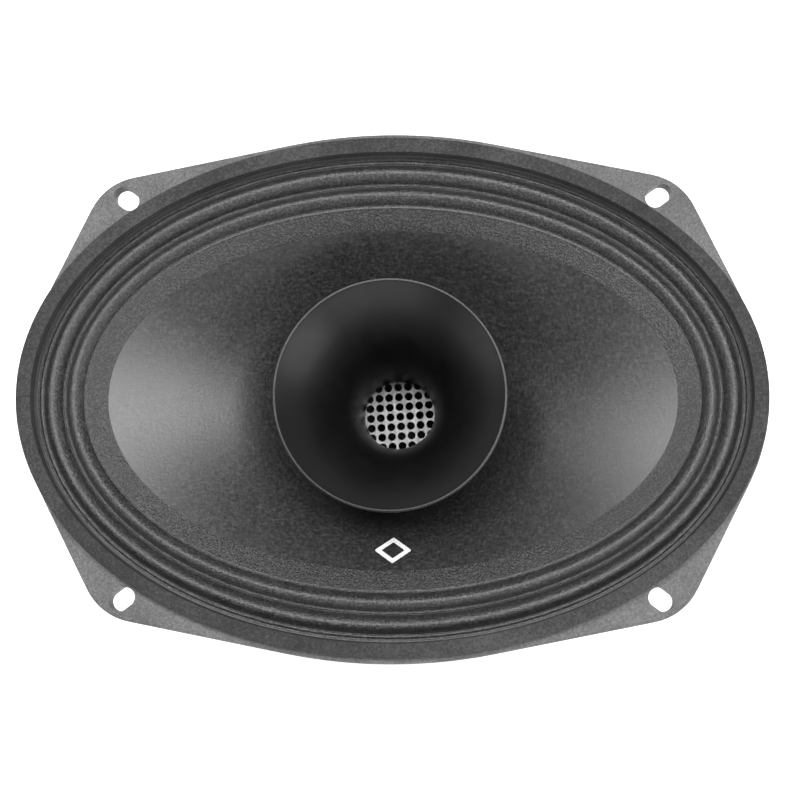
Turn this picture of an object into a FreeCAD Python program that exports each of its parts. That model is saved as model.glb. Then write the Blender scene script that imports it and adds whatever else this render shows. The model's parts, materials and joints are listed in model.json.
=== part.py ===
import FreeCAD, Part
import math
import os

import Sketcher
from FreeCAD import Placement, Rotation, Vector

# A 6 x 9 inch coaxial car speaker. +X is along the oval's length, +Y across it and +Z forward, towards the
# listener. The origin is the centre of the flange's rear face. Everything is in millimetres.

SIZES = {
    # the basket's flange: an ellipse joined by straight edges to four round corners
    "flange_half_length": 118.2,
    "flange_half_width": 83.5,
    "flange_thickness": 4.5,
    "flange_edge_round": 0.9,
    "corner_across": 78.3,
    "corner_up": 51.7,
    "corner_radius": 19.0,
    "slot_across": 84.0,
    "slot_up": 63.35,
    "slot_angle": 37.0,
    "slot_width": 6.1,
    "slot_length": 8.7,
    # the recess that the surround is glued into
    "recess_half_length": 112.6,
    "recess_half_width": 76.7,
    "seat_height": 2.0,
    "opening_half_length": 108.6,
    "opening_half_width": 72.7,
    # the basket behind the flange
    "body_half_length": 110.6,
    "body_half_width": 75.2,
    "ledge_top": -35.2,
    "ledge_bottom": -37.7,
    "ledge_radius": 61.2,
    "ledge_inner_radius": 58.6,
    "ledge_opening_radius": 50.0,
    "can_radius": 53.5,
    "floor_top": -43.5,
    "floor_bottom": -46.0,
    "floor_opening_radius": 30.0,
    "rib_radius": 64.5,
    "rib_thickness": 3.5,
    "window_low": -32.5,
    "window_high": -6.5,
    "window_corner": 6.0,
    "vent_width": 15.0,
    "vent_low": -42.3,
    "vent_high": -39.0,
    "basket_screw_circle": 42.0,
    "basket_screw_radius": 2.0,
    "basket_screw_hole_radius": 2.15,
    "basket_screw_head_radius": 3.4,
    "basket_screw_head_height": 1.8,
    "basket_screw_tip": -52.5,
    "tab_half_width": 6.5,
    # the front gasket
    "gasket_half_length": 117.2,
    "gasket_half_width": 81.3,
    "gasket_inner_half_length": 112.5,
    "gasket_inner_half_width": 76.6,
    "gasket_top": 8.0,
    "gasket_split": 0.3,
    # the cone and its surround
    "cone_half_length": 97.6,
    "cone_half_width": 61.7,
    "cone_rim_height": 1.5,
    "cone_middle_half_length": 61.0,
    "cone_middle_half_width": 43.5,
    "cone_middle_height": -11.8,
    "cone_neck_radius": 26.8,
    "cone_neck_height": -29.0,
    "cone_thickness": 0.85,
    "surround_thickness": 0.6,
    "surround_gap": 0.3,
    "surround_lip": 2.9,
    "surround_inner_lip": 2.0,
    "surround_roll_height": 3.3,
    # the voice coil and the spider
    "former_radius": 25.8,
    "former_inner_radius": 25.5,
    "former_front": -26.5,
    "former_rear": -62.0,
    "winding_radius": 26.6,
    "winding_front": -43.5,
    "winding_rear": -57.5,
    "spider_radius": 56.0,
    "spider_height": -35.1,
    "spider_thickness": 0.5,
    "spider_wave": 1.1,
    "spider_lip": 4.5,
    # the motor
    "top_plate_radius": 52.0,
    "top_plate_gap_radius": 27.1,
    "top_plate_rear": -54.0,
    "magnet_radius": 60.0,
    "magnet_inner_radius": 32.0,
    "magnet_rear": -72.0,
    "back_plate_radius": 56.0,
    "back_plate_rear": -80.0,
    "pole_radius": 25.1,
    "throat_radius": 12.7,
    "boot_radius": 62.2,
    "boot_front": -53.0,
    "boot_shoulder": -76.5,
    "boot_rear": -82.0,
    "boot_lip_radius": 53.0,
    "boot_lip_width": 2.5,
    "boot_bevel": 0.8,
    "boot_fit": 0.2,
    # the horn
    "horn_throat_radius": 12.5,
    "horn_mouth_radius": 35.5,
    "horn_mouth_height": 10.0,
    "horn_lip_width": 0.9,
    "horn_lip_depth": 1.2,
    "horn_wall": 2.0,
    "horn_base_radius": 23.0,
    "horn_base_top": -41.5,
    "horn_screw_circle": 19.6,
    "horn_screw_tip": -53.0,
    "horn_thread_end": -54.0,
    "screen_radius": 14.6,
    "screen_thickness": 0.8,
    "screen_hole_radius": 1.42,
    "screen_pitch": 3.5,
    "screen_turn": 4.3,
    "seal_front": -29.5,
    "seal_rear": -33.0,
    "seal_inner_radius": 15.4,
    "seal_radius": 25.1,
    # the terminals
    "board_half_length": 16.5,
    "board_inner_edge": 62.8,
    "board_outer_edge": 74.6,
    "board_thickness": 1.6,
    "board_rivet_up": 68.3,
    "board_rivet_radius": 1.5,
    "board_rivet_hole_radius": 1.6,
    "board_rivet_head_radius": 2.6,
    "board_rivet_head_height": 0.9,
    "board_rivet_tail_height": 0.7,
    "blade_rivet_radius": 0.8,
    "blade_rivet_hole_radius": 0.9,
    "blade_rivet_head_radius": 1.25,
    "blade_offset": 11.0,
    "blade_thickness": 0.8,
    "blade_plane": 70.4,
    "blade_low": -46.5,
    "blade_foot_inset": 2.6,
    "blade_rivet_inset": 5.0,
    "blade_rivet_offset": 12.0,
    "blade_rivet_head_height": 0.5,
    "blade_slot_gap": 0.1,
    "positive_blade_width": 6.3,
    "negative_blade_width": 4.8,
    # the compression driver
    "driver_plate_radius": 40.0,
    "driver_plate_rear": -85.0,
    "driver_magnet_radius": 34.5,
    "driver_magnet_inner_radius": 21.5,
    "driver_magnet_rear": -92.0,
    "driver_top_plate_radius": 33.0,
    "driver_top_plate_rear": -96.0,
    "driver_gap_radius": 18.3,
    "driver_pole_radius": 17.0,
    "driver_pole_rear": -95.4,
    "driver_bore_radius": 14.4,
    "driver_screw_circle": 37.3,
    "driver_screw_tip": -75.5,
    "driver_thread_end": -75.0,
    "small_screw_radius": 1.45,
    "small_thread_radius": 1.5,
    "small_hole_radius": 1.6,
    "small_head_radius": 2.5,
    "small_head_height": 2.2,
    "dome_radius": 26.3,
    "dome_base_radius": 17.3,
    "dome_base_height": -96.3,
    "dome_thickness": 0.2,
    "driver_former_radius": 17.45,
    "driver_former_front": -91.6,
    "driver_winding_radius": 17.95,
    "driver_winding_front": -92.4,
    "driver_winding_rear": -95.6,
    "suspension_radius": 23.7,
    "suspension_thickness": 0.15,
    "suspension_gap": 0.2,
    "suspension_roll_start": 1.15,
    "suspension_roll_width": 2.8,
    "suspension_roll_depth": 1.0,
    "plug_radius": 12.4,
    "plug_tip": -82.5,
    "plug_gap": 0.9,
    "plug_rear": -97.0,
    "plug_fin_thickness": 1.2,
    "plug_fin_inner_radius": 4.0,
    "plug_fin_rear": -93.4,
    "plug_fin_front": -87.4,
    "ring_rear": -98.2,
    "ring_inner_radius": 21.6,
    "ring_relief": 0.5,
    "ring_step_radius": 23.8,
    "tongue_half_width": 10.0,
    "tongue_end": 37.5,
    "driver_tab_width": 2.8,
    "driver_tab_offset": 4.6,
    "driver_tab_end": 41.0,
    "driver_tab_gap": 0.4,
    "driver_tab_thickness": 0.6,
    "cover_wall": 2.0,
    "cover_rear": -112.0,
    "cover_post_circle": 28.4,
    "cover_post_radius": 3.4,
    "cover_screw_face": -111.8,
    "cover_screw_tip": -93.5,
    "cover_thread_end": -93.0,
    "cover_sink_radius": 2.8,
    "cover_sink_depth": 2.4,
    "cover_edge_round": 1.6,
    "pad_radius": 24.0,
    "pad_front": -106.0,
    # the wires and the filter capacitor
    "wire_diameter": 1.8,
    "lead_diameter": 1.4,
    "capacitor_radius": 4.5,
    "capacitor_half_length": 10.0,
    "capacitor_up": 45.8,
    "capacitor_height": -84.6,
    "clearance": 1.0,
}

doc = FreeCAD.newDocument("coaxial_speaker")
sheet = doc.addObject("Spreadsheet::Sheet", "Sizes")
nodes = []


def fill_sheet():
    """One row per driving dimension: its name, and its value under that alias."""
    for row, (name, value) in enumerate(SIZES.items(), start=1):
        sheet.set(f"A{row}", name)
        sheet.set(f"B{row}", str(value))
        sheet.setAlias(f"B{row}", name)
    doc.recompute()


def expression(words):
    """An expression whose bare names are the sheet's aliases, as FreeCAD writes it."""
    parts = words.split(" ") if isinstance(words, str) else [str(words)]
    return " ".join(f"Sizes.{part}" if part in SIZES else part for part in parts)


def value(words):
    """What an expression comes to, in millimetres."""
    return float(sheet.evalExpression(expression(words)))


def bind(thing, **properties):
    for name, words in properties.items():
        thing.setExpression(name.replace("__", "."), expression(words))
    return thing


def keep(thing):
    """Makes a document object one of the speaker's pieces."""
    nodes.append(thing)
    return thing


def cylinder(name, radius, low, high, across=0, up=0):
    shape = doc.addObject("Part::Cylinder", name)
    bind(shape, Radius=radius, Height=f"{high} - ( {low} )")
    return bind(shape, Placement__Base__x=across, Placement__Base__y=up, Placement__Base__z=low)


def block(name, low, high):
    """A box between two corners, each given as three expressions."""
    shape = doc.addObject("Part::Box", name)
    spans = [f"{b} - ( {a} )" for a, b in zip(low, high)]
    bind(shape, Length=spans[0], Width=spans[1], Height=spans[2])
    return bind(shape, Placement__Base__x=low[0], Placement__Base__y=low[1], Placement__Base__z=low[2])


def fuse(name, shapes):
    whole = doc.addObject("Part::MultiFuse", name)
    whole.Shapes = shapes
    return whole


def cut(name, base, tools):
    """The base less every tool."""
    tool = tools[0] if len(tools) == 1 else fuse(name + "_tools", tools)
    less = doc.addObject("Part::Cut", name)
    less.Base = base
    less.Tool = tool
    return less


def common(name, first, second):
    both = doc.addObject("Part::Common", name)
    both.Base = first
    both.Tool = second
    return both


def group(name, shapes):
    """Separate solids that are one piece of the parts list, such as a set of screws."""
    whole = doc.addObject("Part::Compound", name)
    whole.Links = shapes
    return whole


def tube(name, radius, inner_radius, low, high):
    outer = cylinder(name + "_outside", radius, low, high)
    inner = cylinder(name + "_bore", inner_radius, *through(low, high))
    return cut(name, outer, [inner])


def ellipse(name, half_length, half_width, height):
    curve = doc.addObject("Part::Ellipse", name)
    bind(curve, MajorRadius=half_length, MinorRadius=half_width)
    return bind(curve, Placement__Base__z=height)


def oval_prism(name, half_length, half_width, low, high):
    prism = doc.addObject("Part::Extrusion", name)
    prism.Base = ellipse(name + "_outline", half_length, half_width, low)
    prism.DirMode = "Normal"
    prism.Solid = True
    return bind(prism, LengthFwd=f"{high} - ( {low} )")


def split_oval(name, half_length, half_width, height):
    """An oval in four arcs that meet on the basket's arms, so that no join crosses a window."""
    curve = Part.Ellipse(Vector(0, 0, value(height)), value(half_length), value(half_width))
    joins = [math.radians(angle) for angle in (20, 160, 200, 340, 380)]
    arcs = [Part.ArcOfEllipse(curve, start, end).toShape() for start, end in zip(joins, joins[1:])]
    return feature(name, Part.Wire(arcs))


def oval_loft(name, sections, ruled=True, section_shape=split_oval):
    """A solid through ovals, each given as half its length, half its width and its height."""
    loft = doc.addObject("Part::Loft", name)
    loft.Sections = [section_shape(f"{name}_section_{i}", *section) for i, section in enumerate(sections)]
    loft.Solid = True
    loft.Ruled = ruled
    return loft


def turned(name, corners):
    """A turned piece: a closed profile of (radius, height) corners, revolved about the speaker's axis."""
    body = doc.addObject("PartDesign::Body", name)
    sketch = body.newObject("Sketcher::SketchObject", name + "_profile")
    plane = next(f for f in body.Origin.OriginFeatures if f.Role == "XZ_Plane")
    sketch.AttachmentSupport = [(plane, "")]
    sketch.MapMode = "FlatFace"
    points = [Vector(value(radius), value(height), 0) for radius, height in corners]
    for i, point in enumerate(points):
        sketch.addGeometry(Part.LineSegment(point, points[(i + 1) % len(points)]), False)
    for i in range(len(points)):
        sketch.addConstraint(Sketcher.Constraint("Coincident", i, 2, (i + 1) % len(points), 1))
    for i, (radius, height) in enumerate(corners):
        place_corner(sketch, i, "DistanceX", radius, points[i].x)
        place_corner(sketch, i, "DistanceY", height, points[i].y)
    turn = body.newObject("PartDesign::Revolution", name + "_turn")
    turn.Profile = sketch
    turn.ReferenceAxis = (sketch, ["V_Axis"])
    turn.Angle = 360
    return body


def place_corner(sketch, corner, kind, words, distance):
    """Binds one coordinate of a profile's corner to the sheet."""
    if distance == 0:
        axis = -2 if kind == "DistanceX" else -1
        sketch.addConstraint(Sketcher.Constraint("PointOnObject", corner, 1, axis))
        return
    index = sketch.addConstraint(Sketcher.Constraint(kind, -1, 1, corner, 1, distance))
    sketch.setExpression(f"Constraints[{index}]", expression(words))


def softened(name, solid, radius, chosen):
    """The solid with a round along each edge that is chosen."""
    solid.recompute()
    soft = doc.addObject("Part::Fillet", name)
    soft.Base = solid
    size = value(radius)
    soft.Edges = [(i, size, size) for i, edge in enumerate(solid.Shape.Edges, start=1) if chosen(edge)]
    return soft


def spun(name, shape, angle):
    """The shape turned about the speaker's axis."""
    turn = group(name, [shape])
    turn.Placement = Placement(Vector(0, 0, 0), Rotation(Vector(0, 0, 1), angle))
    return turn


def feature(name, shape):
    """A piece whose shape comes from Part's own functions."""
    thing = doc.addObject("Part::Feature", name)
    thing.Shape = shape
    thing.Placement = Placement()
    return thing


def around(circle, angle):
    """Where a point of a circle about the axis is, as two expressions."""
    return f"{circle} * cos( {angle} )", f"{circle} * sin( {angle} )"


def screw(name, place, face, seat, tip, radius, head_radius):
    """A socket-head screw, whose face is in front of its seat, or behind it when it points forward."""
    forward = value(face) > value(seat)
    head = cylinder(name + "_head", head_radius, *((seat, face) if forward else (face, seat)), *place)
    shank = cylinder(name + "_shank", radius, *((tip, seat) if forward else (seat, tip)), *place)
    socket = doc.addObject("Part::Prism", name + "_socket")
    socket.Polygon = 6
    bottom = f"{face} - ( {face} - ( {seat} ) ) * 0.6"
    bind(socket, Circumradius=f"{head_radius} * 0.55", Height="clearance * 4")
    bind(socket, Placement__Base__x=place[0], Placement__Base__y=place[1])
    bind(socket, Placement__Base__z=bottom if forward else f"{bottom} - clearance * 4")
    return cut(name, fuse(name + "_blank", [head, shank]), [socket])


def screws(name, circle, angles, face, seat, tip, radius, head_radius):
    """A set of equal screws on a circle."""
    each = [
        screw(f"{name}_{i}", around(circle, angle), face, seat, tip, radius, head_radius)
        for i, angle in enumerate(angles, start=1)
    ]
    return keep(group(name, each))


def through(low, high):
    """The ends of a cutter that goes right through what lies between two heights."""
    return f"{low} - clearance", f"{high} + clearance"


def holes(name, circle, angles, radius, low, high):
    """Cutters for a circle of equal holes."""
    return [
        cylinder(f"{name}_{i}", radius, low, high, *around(circle, angle))
        for i, angle in enumerate(angles, start=1)
    ]


BASKET_SCREW_ANGLES = (45, 135, 225, 315)
DRIVER_SCREW_ANGLES = (30, 150, 270)
WINDOWS = ((0, 40), (40, 44), (90, 50), (140, 44), (180, 40), (220, 44), (270, 50), (320, 44))
RIB_ANGLES = (18.7, 61.6, 118.4, 161.3, 198.7, 241.6, 298.4, 341.3)
VENT_ANGLES = range(0, 360, 45)
HORN_OPENING = 3.0


# The basket


def crossing(first, second, difference):
    """Where a function of an angle changes sign, by halving."""
    start = difference(first) > 0
    for _ in range(60):
        middle = (first + second) / 2
        if (difference(middle) > 0) == start:
            first = middle
        else:
            second = middle
    return first


def flange_outline():
    """The hull of an ellipse and four corner circles: a straight edge where both have one tangent."""
    length, width = value("flange_half_length"), value("flange_half_width")
    centre = Vector(value("corner_across"), value("corner_up"), 0)
    radius = value("corner_radius")

    def reach(angle):
        return math.hypot(length * math.cos(angle), width * math.sin(angle))

    def difference(angle):
        normal = Vector(math.cos(angle), math.sin(angle), 0)
        return centre.dot(normal) + radius - reach(angle)

    side = crossing(0, math.pi / 4, difference)
    top = crossing(math.pi / 2, math.pi / 4, difference)
    normals = [Vector(math.cos(angle), math.sin(angle), 0) for angle in (side, (side + top) / 2, top)]
    on_corner = [centre + normal * radius for normal in normals]
    on_side = Vector(length**2 * math.cos(side), width**2 * math.sin(side), 0) / reach(side)
    on_top = Vector(length**2 * math.cos(top), width**2 * math.sin(top), 0) / reach(top)
    edges = []
    for across, up in ((1, 1), (-1, 1), (-1, -1), (1, -1)):
        s, a, b, c, t = [Vector(p.x * across, p.y * up, 0) for p in (on_side, *on_corner, on_top)]
        pieces = (Part.LineSegment(s, a), Part.Arc(a, b, c), Part.LineSegment(c, t))
        edges += [piece.toShape() for piece in pieces]
    ellipse_curve = Part.Ellipse(Vector(0, 0, 0), length, width)
    at_side = math.atan2(on_side.y / width, on_side.x / length)
    at_top = math.atan2(on_top.y / width, on_top.x / length)
    for middle, half in ((0, at_side), (math.pi / 2, math.pi / 2 - at_top)):
        for turn in (middle, middle + math.pi):
            edges.append(Part.ArcOfEllipse(ellipse_curve, turn - half, turn + half).toShape())
    return Part.Wire(Part.__sortEdges__(edges))


def flange_plate():
    plate = doc.addObject("Part::Extrusion", "flange_plate")
    plate.Base = feature("flange_outline", flange_outline())
    plate.DirMode = "Custom"
    plate.Dir = Vector(0, 0, 1)
    plate.Solid = True
    bind(plate, LengthFwd="flange_thickness")
    front = value("flange_thickness") - 0.01
    return softened("flange_rounded", plate, "flange_edge_round", lambda edge: edge.BoundBox.ZMin > front)


def slot_cutter(number, across, up):
    """A slot whose length points away from the middle of the speaker."""
    name = f"slot_{number}"
    half = "( slot_length - slot_width ) / 2"
    low, high = "0 - clearance", "flange_thickness + clearance"
    ends = [cylinder(f"{name}_end_{i}", "slot_width / 2", low, high, f"{i} * {half}") for i in (-1, 1)]
    corners = (f"-1 * {half}", "slot_width / -2", low), (half, "slot_width / 2", high)
    middle = block(f"{name}_middle", *corners)
    slot = fuse(name, [*ends, middle])
    slot.Placement = Placement(Vector(0, 0, 0), Rotation(Vector(0, 0, 1), 1))
    bind(slot, Placement__Rotation__Angle=f"{across * up} * slot_angle")
    bind(slot, Placement__Base__x=f"{across} * slot_across")
    return bind(slot, Placement__Base__y=f"{up} * slot_up")


def window_cutter(number, angle, width):
    """A rounded opening between two of the basket's arms."""
    name = f"window_{number}"
    low = ("ledge_opening_radius", f"-1 * {width / 2}", "window_low")
    solid = block(f"{name}_block", low, ("flange_half_length", width / 2, "window_high"))

    def outward(edge):
        return abs(edge.tangentAt(edge.FirstParameter).x) > 0.9

    return spun(name, softened(f"{name}_rounded", solid, "window_corner", outward), angle)


def vent_cutter(number, angle):
    name = f"vent_{number}"
    low = ("ledge_opening_radius - clearance * 4", "vent_width / -2", "vent_low")
    solid = block(f"{name}_block", low, ("rib_radius", "vent_width / 2", "vent_high"))
    return spun(name, solid, angle)


def ribs():
    """A fin down each arm of the basket, deeper towards the magnet."""
    low = ("ledge_opening_radius", "rib_thickness / -2", "floor_bottom")
    plates = []
    for i, angle in enumerate(RIB_ANGLES, start=1):
        plate = block(f"rib_{i}_plate", low, ("flange_half_length", "rib_thickness / 2", "0"))
        plates.append(spun(f"rib_{i}", plate, angle))
    sections = [
        ("body_half_length", "body_half_width", "0"),
        ("rib_radius", "rib_radius", "ledge_bottom"),
        ("can_radius + rib_thickness", "can_radius + rib_thickness", "floor_bottom"),
    ]
    return common("ribs", fuse("rib_plates", plates), oval_loft("rib_envelope", sections))


def basket_outside():
    """The wall, the can at its foot, the fins and the tab that the terminal board is riveted to."""
    wall = [
        ("body_half_length", "body_half_width", "0"),
        ("ledge_radius", "ledge_radius", "ledge_bottom"),
    ]
    tab_low = ("-1 * tab_half_width", "ledge_inner_radius", "ledge_bottom")
    shapes = [
        oval_loft("basket_body", wall),
        cylinder("basket_can", "can_radius", "floor_bottom", "ledge_bottom"),
        ribs(),
        block("terminal_tab", tab_low, ("tab_half_width", "board_outer_edge", "ledge_top")),
    ]
    return fuse("basket_outside", shapes)


def basket_inside():
    """The room in the basket, down to its floor."""
    recess_top = "flange_thickness + clearance"
    hollow = [
        ("opening_half_length", "opening_half_width", "seat_height"),
        ("ledge_inner_radius", "ledge_inner_radius", "ledge_top"),
    ]
    rivet_hole = ("board_rivet_hole_radius", *through("ledge_bottom", "ledge_top"), 0, "board_rivet_up")
    shapes = [
        oval_prism("recess", "recess_half_length", "recess_half_width", "seat_height", recess_top),
        oval_loft("basket_hollow", hollow),
        cylinder("spider_room", "ledge_opening_radius", "floor_top", "ledge_top + clearance"),
        cylinder("coil_hole", "floor_opening_radius", *through("floor_bottom", "floor_top")),
        cylinder("tab_hole", *rivet_hole),
    ]
    return fuse("basket_inside", shapes)


def basket_openings():
    """The slots, the windows, the vents under the spider and the screw holes."""
    corners = ((1, 1), (-1, 1), (-1, -1), (1, -1))
    gaps = [slot_cutter(i, across, up) for i, (across, up) in enumerate(corners, start=1)]
    gaps += [window_cutter(i, angle, width) for i, (angle, width) in enumerate(WINDOWS, start=1)]
    gaps += [vent_cutter(i, angle) for i, angle in enumerate(VENT_ANGLES, start=1)]
    ends = through("floor_bottom", "floor_top")
    place = ("basket_screw_hole", "basket_screw_circle", BASKET_SCREW_ANGLES)
    return group("openings", gaps + holes(*place, "basket_screw_hole_radius", *ends))


def basket():
    hollow, gaps = basket_inside(), basket_openings()
    halves = []
    for name, blank in (("flange", flange_plate()), ("wall", basket_outside())):
        halves.append(cut(name, cut(f"{name}_shell", blank, [hollow]), [gaps]))
    keep(fuse("basket", halves))
    face, seat, tip = "floor_top + basket_screw_head_height", "floor_top", "basket_screw_tip"
    sizes = ("basket_screw_radius", "basket_screw_head_radius")
    screws("basket_screws", "basket_screw_circle", BASKET_SCREW_ANGLES, face, seat, tip, *sizes)


def gaskets():
    """The front gasket, split across the ends of the oval."""
    top = "gasket_top + clearance"
    outline, opening = "gasket_half", "gasket_inner_half"
    ends = ("flange_thickness", "gasket_top")
    outer = oval_prism("gasket_outside", f"{outline}_length", f"{outline}_width", *ends)
    inner = oval_prism("gasket_inside", f"{opening}_length", f"{opening}_width", "0", top)
    ring = cut("gasket_ring", outer, [inner])
    left, right = "-1 * flange_half_length", "flange_half_length"
    upper = block("upper_half", (left, "gasket_split / 2", "0"), (right, "flange_half_width", top))
    lower = block("lower_half", (left, "-1 * flange_half_width", "0"), (right, "gasket_split / -2", top))
    keep(common("gasket_upper", ring, upper))
    keep(common("gasket_lower", ring, lower))


# The cone, its suspension and the voice coil


def cone_shape(name, lift):
    """The oval funnel that the paper follows, raised by lift."""
    rise = f"+ {lift}"
    sections = [
        ("cone_half_length", "cone_half_width", f"cone_rim_height {rise}"),
        ("cone_middle_half_length", "cone_middle_half_width", f"cone_middle_height {rise}"),
        ("cone_neck_radius", "cone_neck_radius", f"cone_neck_height {rise}"),
    ]
    return oval_loft(name, sections, ruled=False, section_shape=ellipse)


def cone():
    front = cone_shape("cone_front", "cone_thickness")
    ends = ("cone_neck_height - clearance", "cone_neck_height + 4 * clearance")
    bore = cylinder("cone_bore", "former_radius", *ends)
    keep(cut("cone", cone_shape("cone_back", 0), [front, bore]))


def surround():
    """Cloth in two rolls between the recess and the cone's rim: a closed band of straight strips."""
    glue = 0.05
    first_crest, valley, second_crest = 0.22, 0.5, 0.78
    seat = value("seat_height") + glue
    rim = value("cone_rim_height") + glue
    roll = seat + value("surround_roll_height")
    edge = value("recess_half_length") - value("cone_half_length")
    start = value("surround_gap")
    rise = value("surround_lip") + start
    span = edge - rise
    back = [
        (start, seat),
        (rise, seat),
        (rise + span * first_crest, roll),
        (rise + span * valley, seat + value("surround_thickness")),
        (rise + span * second_crest, roll),
        (edge, rim),
        (edge + value("surround_inner_lip"), rim),
    ]
    front = [(inset, height + value("surround_thickness")) for inset, height in reversed(back)]
    rings = [surround_ring(inset, height) for inset, height in back + front]
    strips = [Part.makeRuledSurface(a, b) for a, b in zip(rings, rings[1:] + rings[:1])]
    keep(feature("surround", Part.makeSolid(Part.makeShell(strips))))


def surround_ring(inset, height):
    length, width = value("recess_half_length") - inset, value("recess_half_width") - inset
    return Part.Ellipse(Vector(0, 0, height), length, width).toShape()


def spider():
    """A corrugated disc between the former and the basket's ledge."""
    waves, collar = 7, 2
    inner, outer = value("former_radius"), value("spider_radius")
    start, end = inner + collar, outer - value("spider_lip")
    step = (end - start) / (2 * waves)
    middle = value("spider_height")
    wave = value("spider_wave")
    back = [(inner, middle), (start, middle)]
    back += [(start + step * i, middle + (wave if i % 2 else -wave)) for i in range(1, 2 * waves)]
    back += [(end, middle), (outer, middle)]
    thickness = value("spider_thickness")
    front = [(radius, height + thickness) for radius, height in reversed(back)]
    keep(turned("spider", back + front))


def voice_coil():
    keep(tube("voice_coil_former", "former_radius", "former_inner_radius", "former_rear", "former_front"))
    keep(tube("voice_coil_winding", "winding_radius", "former_radius", "winding_rear", "winding_front"))


def bent_path(points):
    """Straight runs joined by tangent arcs, each as large as its two runs allow."""
    share_bent = 0.45
    edges = []
    last = points[0]
    for before, corner, after in zip(points, points[1:], points[2:]):
        to_corner, from_corner = (corner - before), (after - corner)
        shorter = min(to_corner.Length, from_corner.Length)
        to_corner.normalize()
        from_corner.normalize()
        turn = math.acos(max(-1, min(1, to_corner.dot(from_corner))))
        trim = share_bent * shorter
        radius = trim / math.tan(turn / 2)
        start, end = corner - to_corner * trim, corner + from_corner * trim
        inward = from_corner - to_corner
        inward.normalize()
        middle = corner + inward * (radius / math.cos(turn / 2) - radius)
        edges.append(Part.LineSegment(last, start).toShape())
        edges.append(Part.Arc(start, middle, end).toShape())
        last = end
    edges.append(Part.LineSegment(last, points[-1]).toShape())
    return Part.Wire(edges)


def wire(name, points, diameter):
    """A round lead along a bent path."""
    path = bent_path([Vector(*point) for point in points])
    start = path.Edges[0]
    along = start.tangentAt(start.FirstParameter)
    section = Part.Circle(path.Vertexes[0].Point, along, value(diameter) / 2)
    lead = path.makePipeShell([Part.Wire(section.toShape())], True, True)
    keep(feature(name, lead))


def tinsel_leads():
    """Slack braided leads from the former, between the cone and the spider, to the terminals' feet."""
    near_cone = [(7, 25.2, -31.5), (7.3, 34, -30.8), (8, 44, -26.4)]
    near_board = [(8.8, 53, -26), (9.4, 60.2, -30), (9.5, 66.6, -32)]
    points = near_cone + near_board
    for name, side in (("lead_positive", 1), ("lead_negative", -1)):
        wire(name, [(across * side, up, height) for across, up, height in points], "lead_diameter")


# The motor


def motor():
    radii = ("top_plate_radius", "top_plate_gap_radius")
    plate = tube("top_plate_blank", *radii, "top_plate_rear", "floor_bottom")
    ends = ("top_plate_rear + clearance", "floor_bottom + clearance")
    place = ("top_plate_hole", "basket_screw_circle", BASKET_SCREW_ANGLES)
    keep(cut("top_plate", plate, holes(*place, "basket_screw_radius", *ends)))
    keep(tube("magnet", "magnet_radius", "magnet_inner_radius", "magnet_rear", "top_plate_rear"))
    profile = [
        ("throat_radius", "floor_bottom"),
        ("pole_radius", "floor_bottom"),
        ("pole_radius", "magnet_rear"),
        ("back_plate_radius", "magnet_rear"),
        ("back_plate_radius", "back_plate_rear"),
        ("throat_radius", "back_plate_rear"),
    ]
    places = (
        ("horn_thread", "horn_screw_circle", "horn_thread_end", "floor_bottom + clearance"),
        ("driver_thread", "driver_screw_circle", "back_plate_rear - clearance", "driver_thread_end"),
    )
    threads = []
    for name, circle, low, high in places:
        threads += holes(name, circle, DRIVER_SCREW_ANGLES, "small_thread_radius", low, high)
    keep(cut("yoke", turned("yoke_blank", profile), threads))


def magnet_boot():
    """The rubber cover: a sleeve round the magnet that steps in and hooks behind the back plate."""
    profile = [
        ("magnet_radius + boot_fit", "boot_front"),
        ("boot_radius - boot_bevel", "boot_front"),
        ("boot_radius", "boot_front - boot_bevel"),
        ("boot_radius", "boot_shoulder"),
        ("back_plate_radius + boot_lip_width", "boot_rear"),
        ("boot_lip_radius", "boot_rear"),
        ("boot_lip_radius", "back_plate_rear - boot_fit / 4"),
        ("back_plate_radius + boot_fit", "back_plate_rear - boot_fit / 4"),
        ("back_plate_radius + boot_fit", "magnet_rear - boot_fit"),
        ("magnet_radius + boot_fit", "magnet_rear - boot_fit"),
    ]
    keep(turned("magnet_boot", profile))


# The horn


def flare(height):
    """The horn's inner radius: a straight throat that opens faster and faster."""
    throat, mouth = value("horn_throat_radius"), value("horn_mouth_radius")
    low, high = value("floor_bottom"), value("horn_mouth_height")
    return throat + (mouth - throat) * ((height - low) / (high - low)) ** HORN_OPENING


def flare_line(start, end, offset):
    """The flare's profile between two heights, moved outward by an offset."""
    steps = 10
    line = Part.BSplineCurve()
    heights = [start + (end - start) * i / steps for i in range(steps + 1)]
    line.interpolate([Vector(flare(height) + offset, 0, height) for height in heights])
    return line.toShape()


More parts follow.
